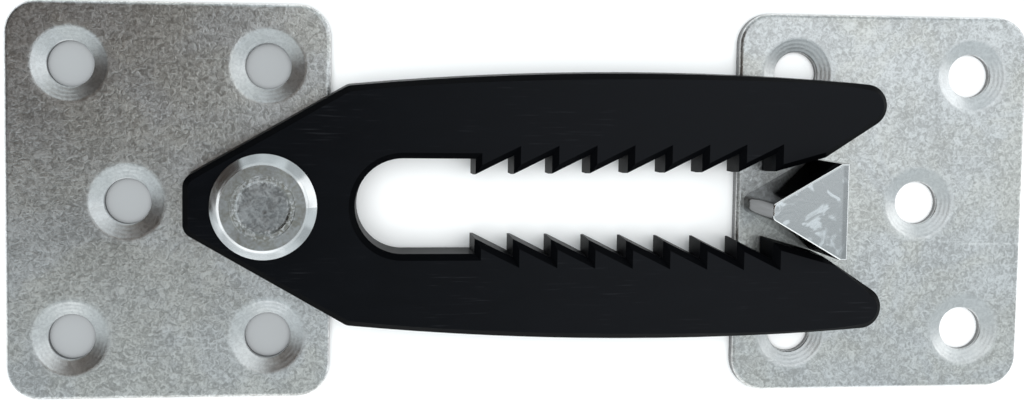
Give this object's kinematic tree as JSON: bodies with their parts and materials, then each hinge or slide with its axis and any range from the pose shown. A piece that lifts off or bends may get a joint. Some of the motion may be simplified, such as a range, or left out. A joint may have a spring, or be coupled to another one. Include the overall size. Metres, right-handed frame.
{
  "type": "interlocking furniture connector",
  "caption": "Screw-on zinc-plated plates linked by a swivelling black nylon fork with saw-toothed jaws that grips a wedge block, for holding sofa sections together.",
  "frame": {"origin": "centre of the bottom of the pair's bounding box, on the plane that both plate backs lie on", "axes": "+X from the jaw plate to the catch plate along the pull, +Z out of the plates towards the rivet head, +Y across"},
  "size_m": [0.1866, 0.07, 0.0158],
  "materials": {
    "zinc_sheet": "zinc-plated sheet, satin with a fine mottle",
    "rivet_steel": "bright zinc-plated, polished bevel",
    "block_steel": "bright zinc-plated block",
    "black_nylon": "satin moulded nylon"
  },
  "bodies": {
    "jaw_plate": {"jaw_plate": "zinc_sheet", "pivot_rivet": "rivet_steel"},
    "jaw": {"jaw": "black_nylon"},
    "catch": {"catch_plate": "zinc_sheet", "catch_block": "block_steel"}
  },
  "joints": [
    {"name": "jaw_pivot", "type": "hinge", "parent": "jaw_plate", "child": "jaw", "pos_m": [-0.04845, 0, 0.005], "axis": [0, 0, 1], "continuous": true},
    {"name": "catch_slide", "type": "slide", "parent": "jaw", "child": "catch", "axis": [1, 0, 0], "range_m": [0, 0.035]}
  ]
}
